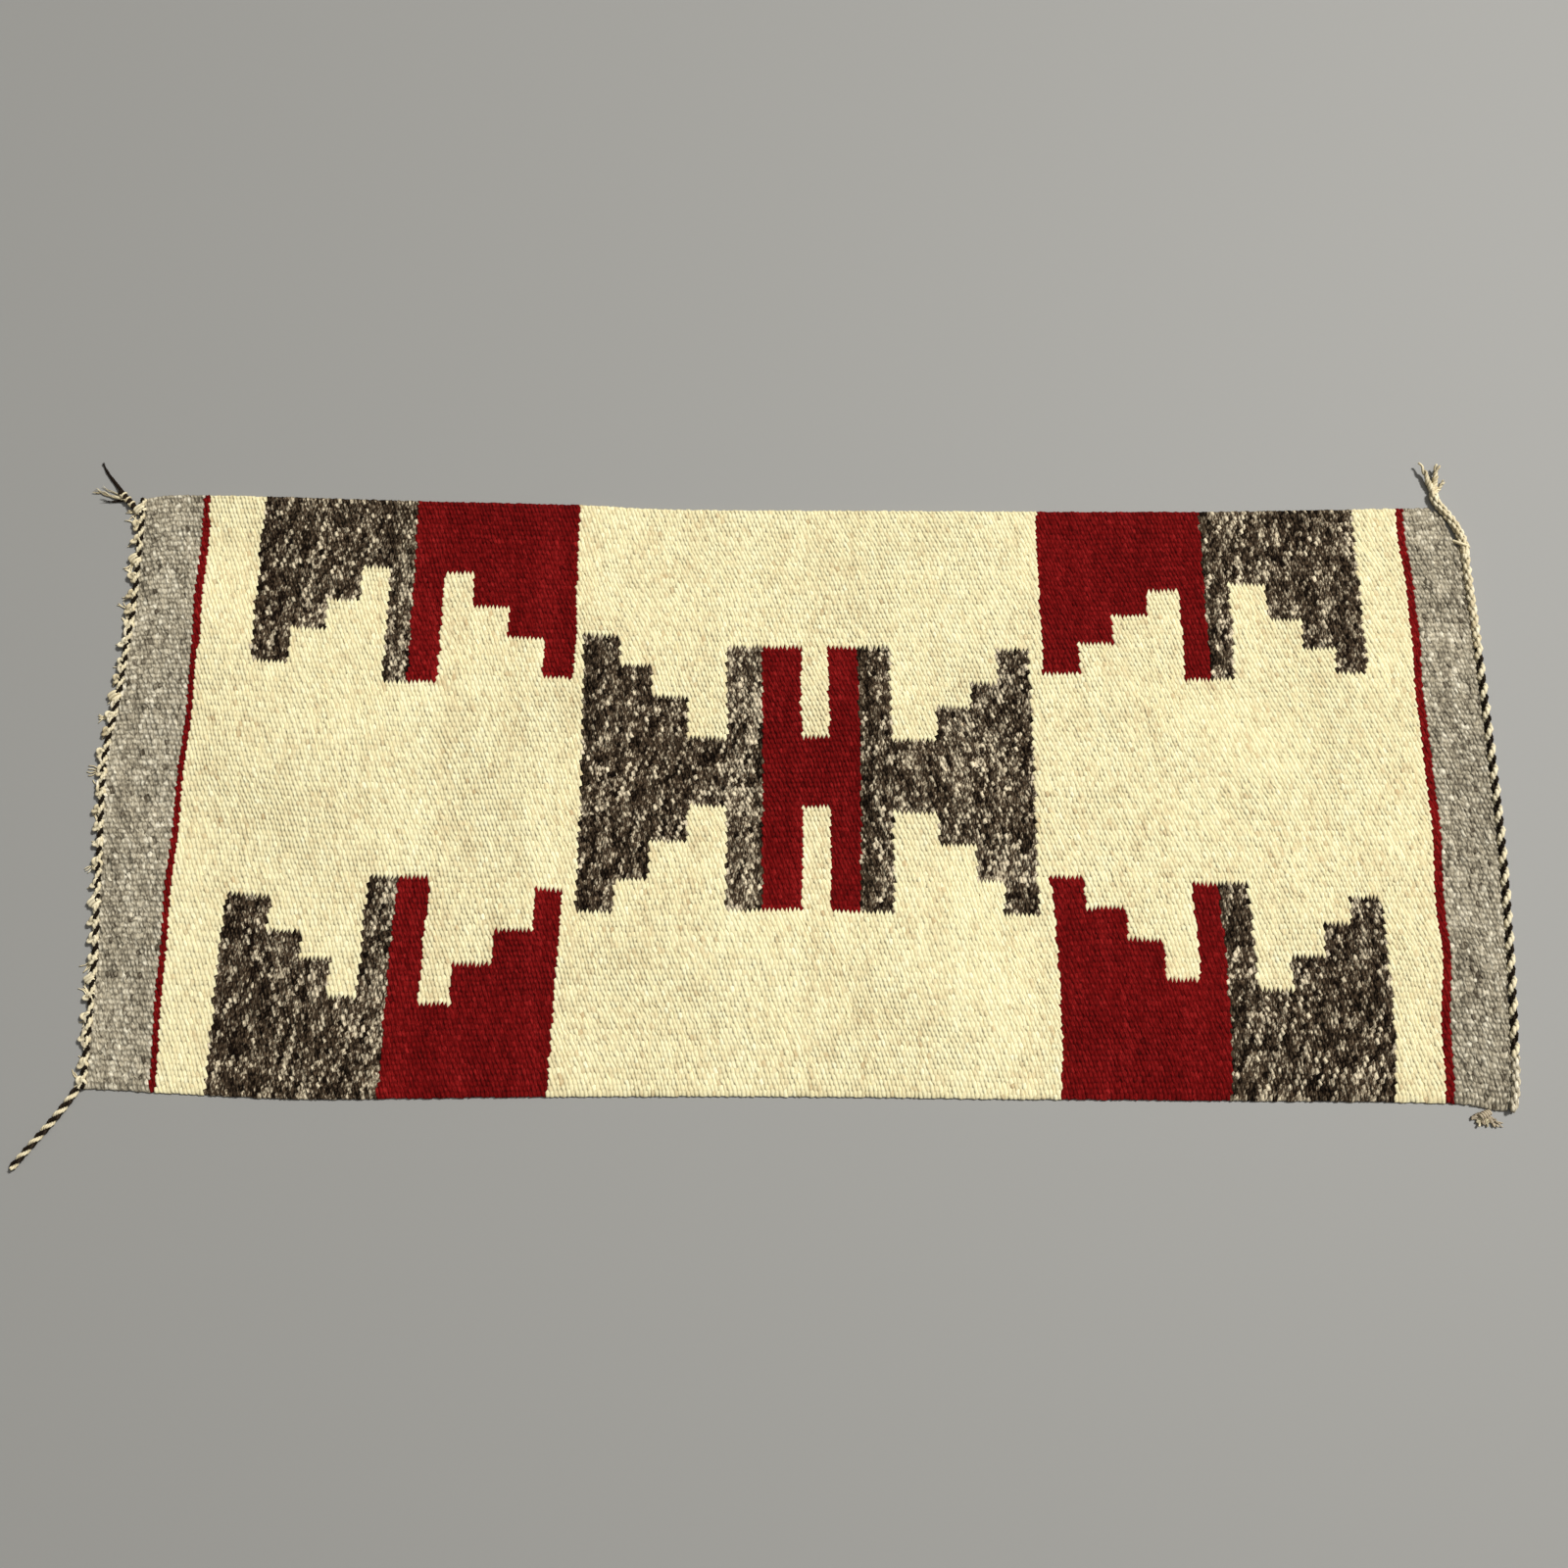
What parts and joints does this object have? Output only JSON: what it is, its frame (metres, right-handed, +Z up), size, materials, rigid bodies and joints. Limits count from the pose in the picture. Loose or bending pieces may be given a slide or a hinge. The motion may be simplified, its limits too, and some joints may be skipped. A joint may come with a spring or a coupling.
{
  "type": "tapestry-woven rug",
  "caption": "Small flat weft-faced wool rug with stepped motifs, plain end borders, twisted end cords, knotted warp ends and corner tassels.",
  "frame": {"origin": "middle of the cloth's underside, on the floor", "axes": "+X along the rug's length, +Y across its width and away from the viewer, +Z up"},
  "size_m": [1.0528, 0.5403, 0.0073],
  "materials": {
    "cream_wool": "matt woven wool",
    "red_wool": "matt woven wool",
    "brown_wool": "matt woven heather wool",
    "border_wool": "matt woven heather wool",
    "warp_cotton": "matt cotton yarn",
    "plied_cord": "matt two-ply yarn"
  },
  "bodies": {
    "root": {"rug_cloth": "cream_wool", "left_end_knots": "warp_cotton", "right_end_cord": "plied_cord", "front_left_tail": "plied_cord", "back_left_tuft": "plied_cord", "back_right_tuft": "warp_cotton", "front_right_tuft": "warp_cotton"}
  },
  "joints": []
}
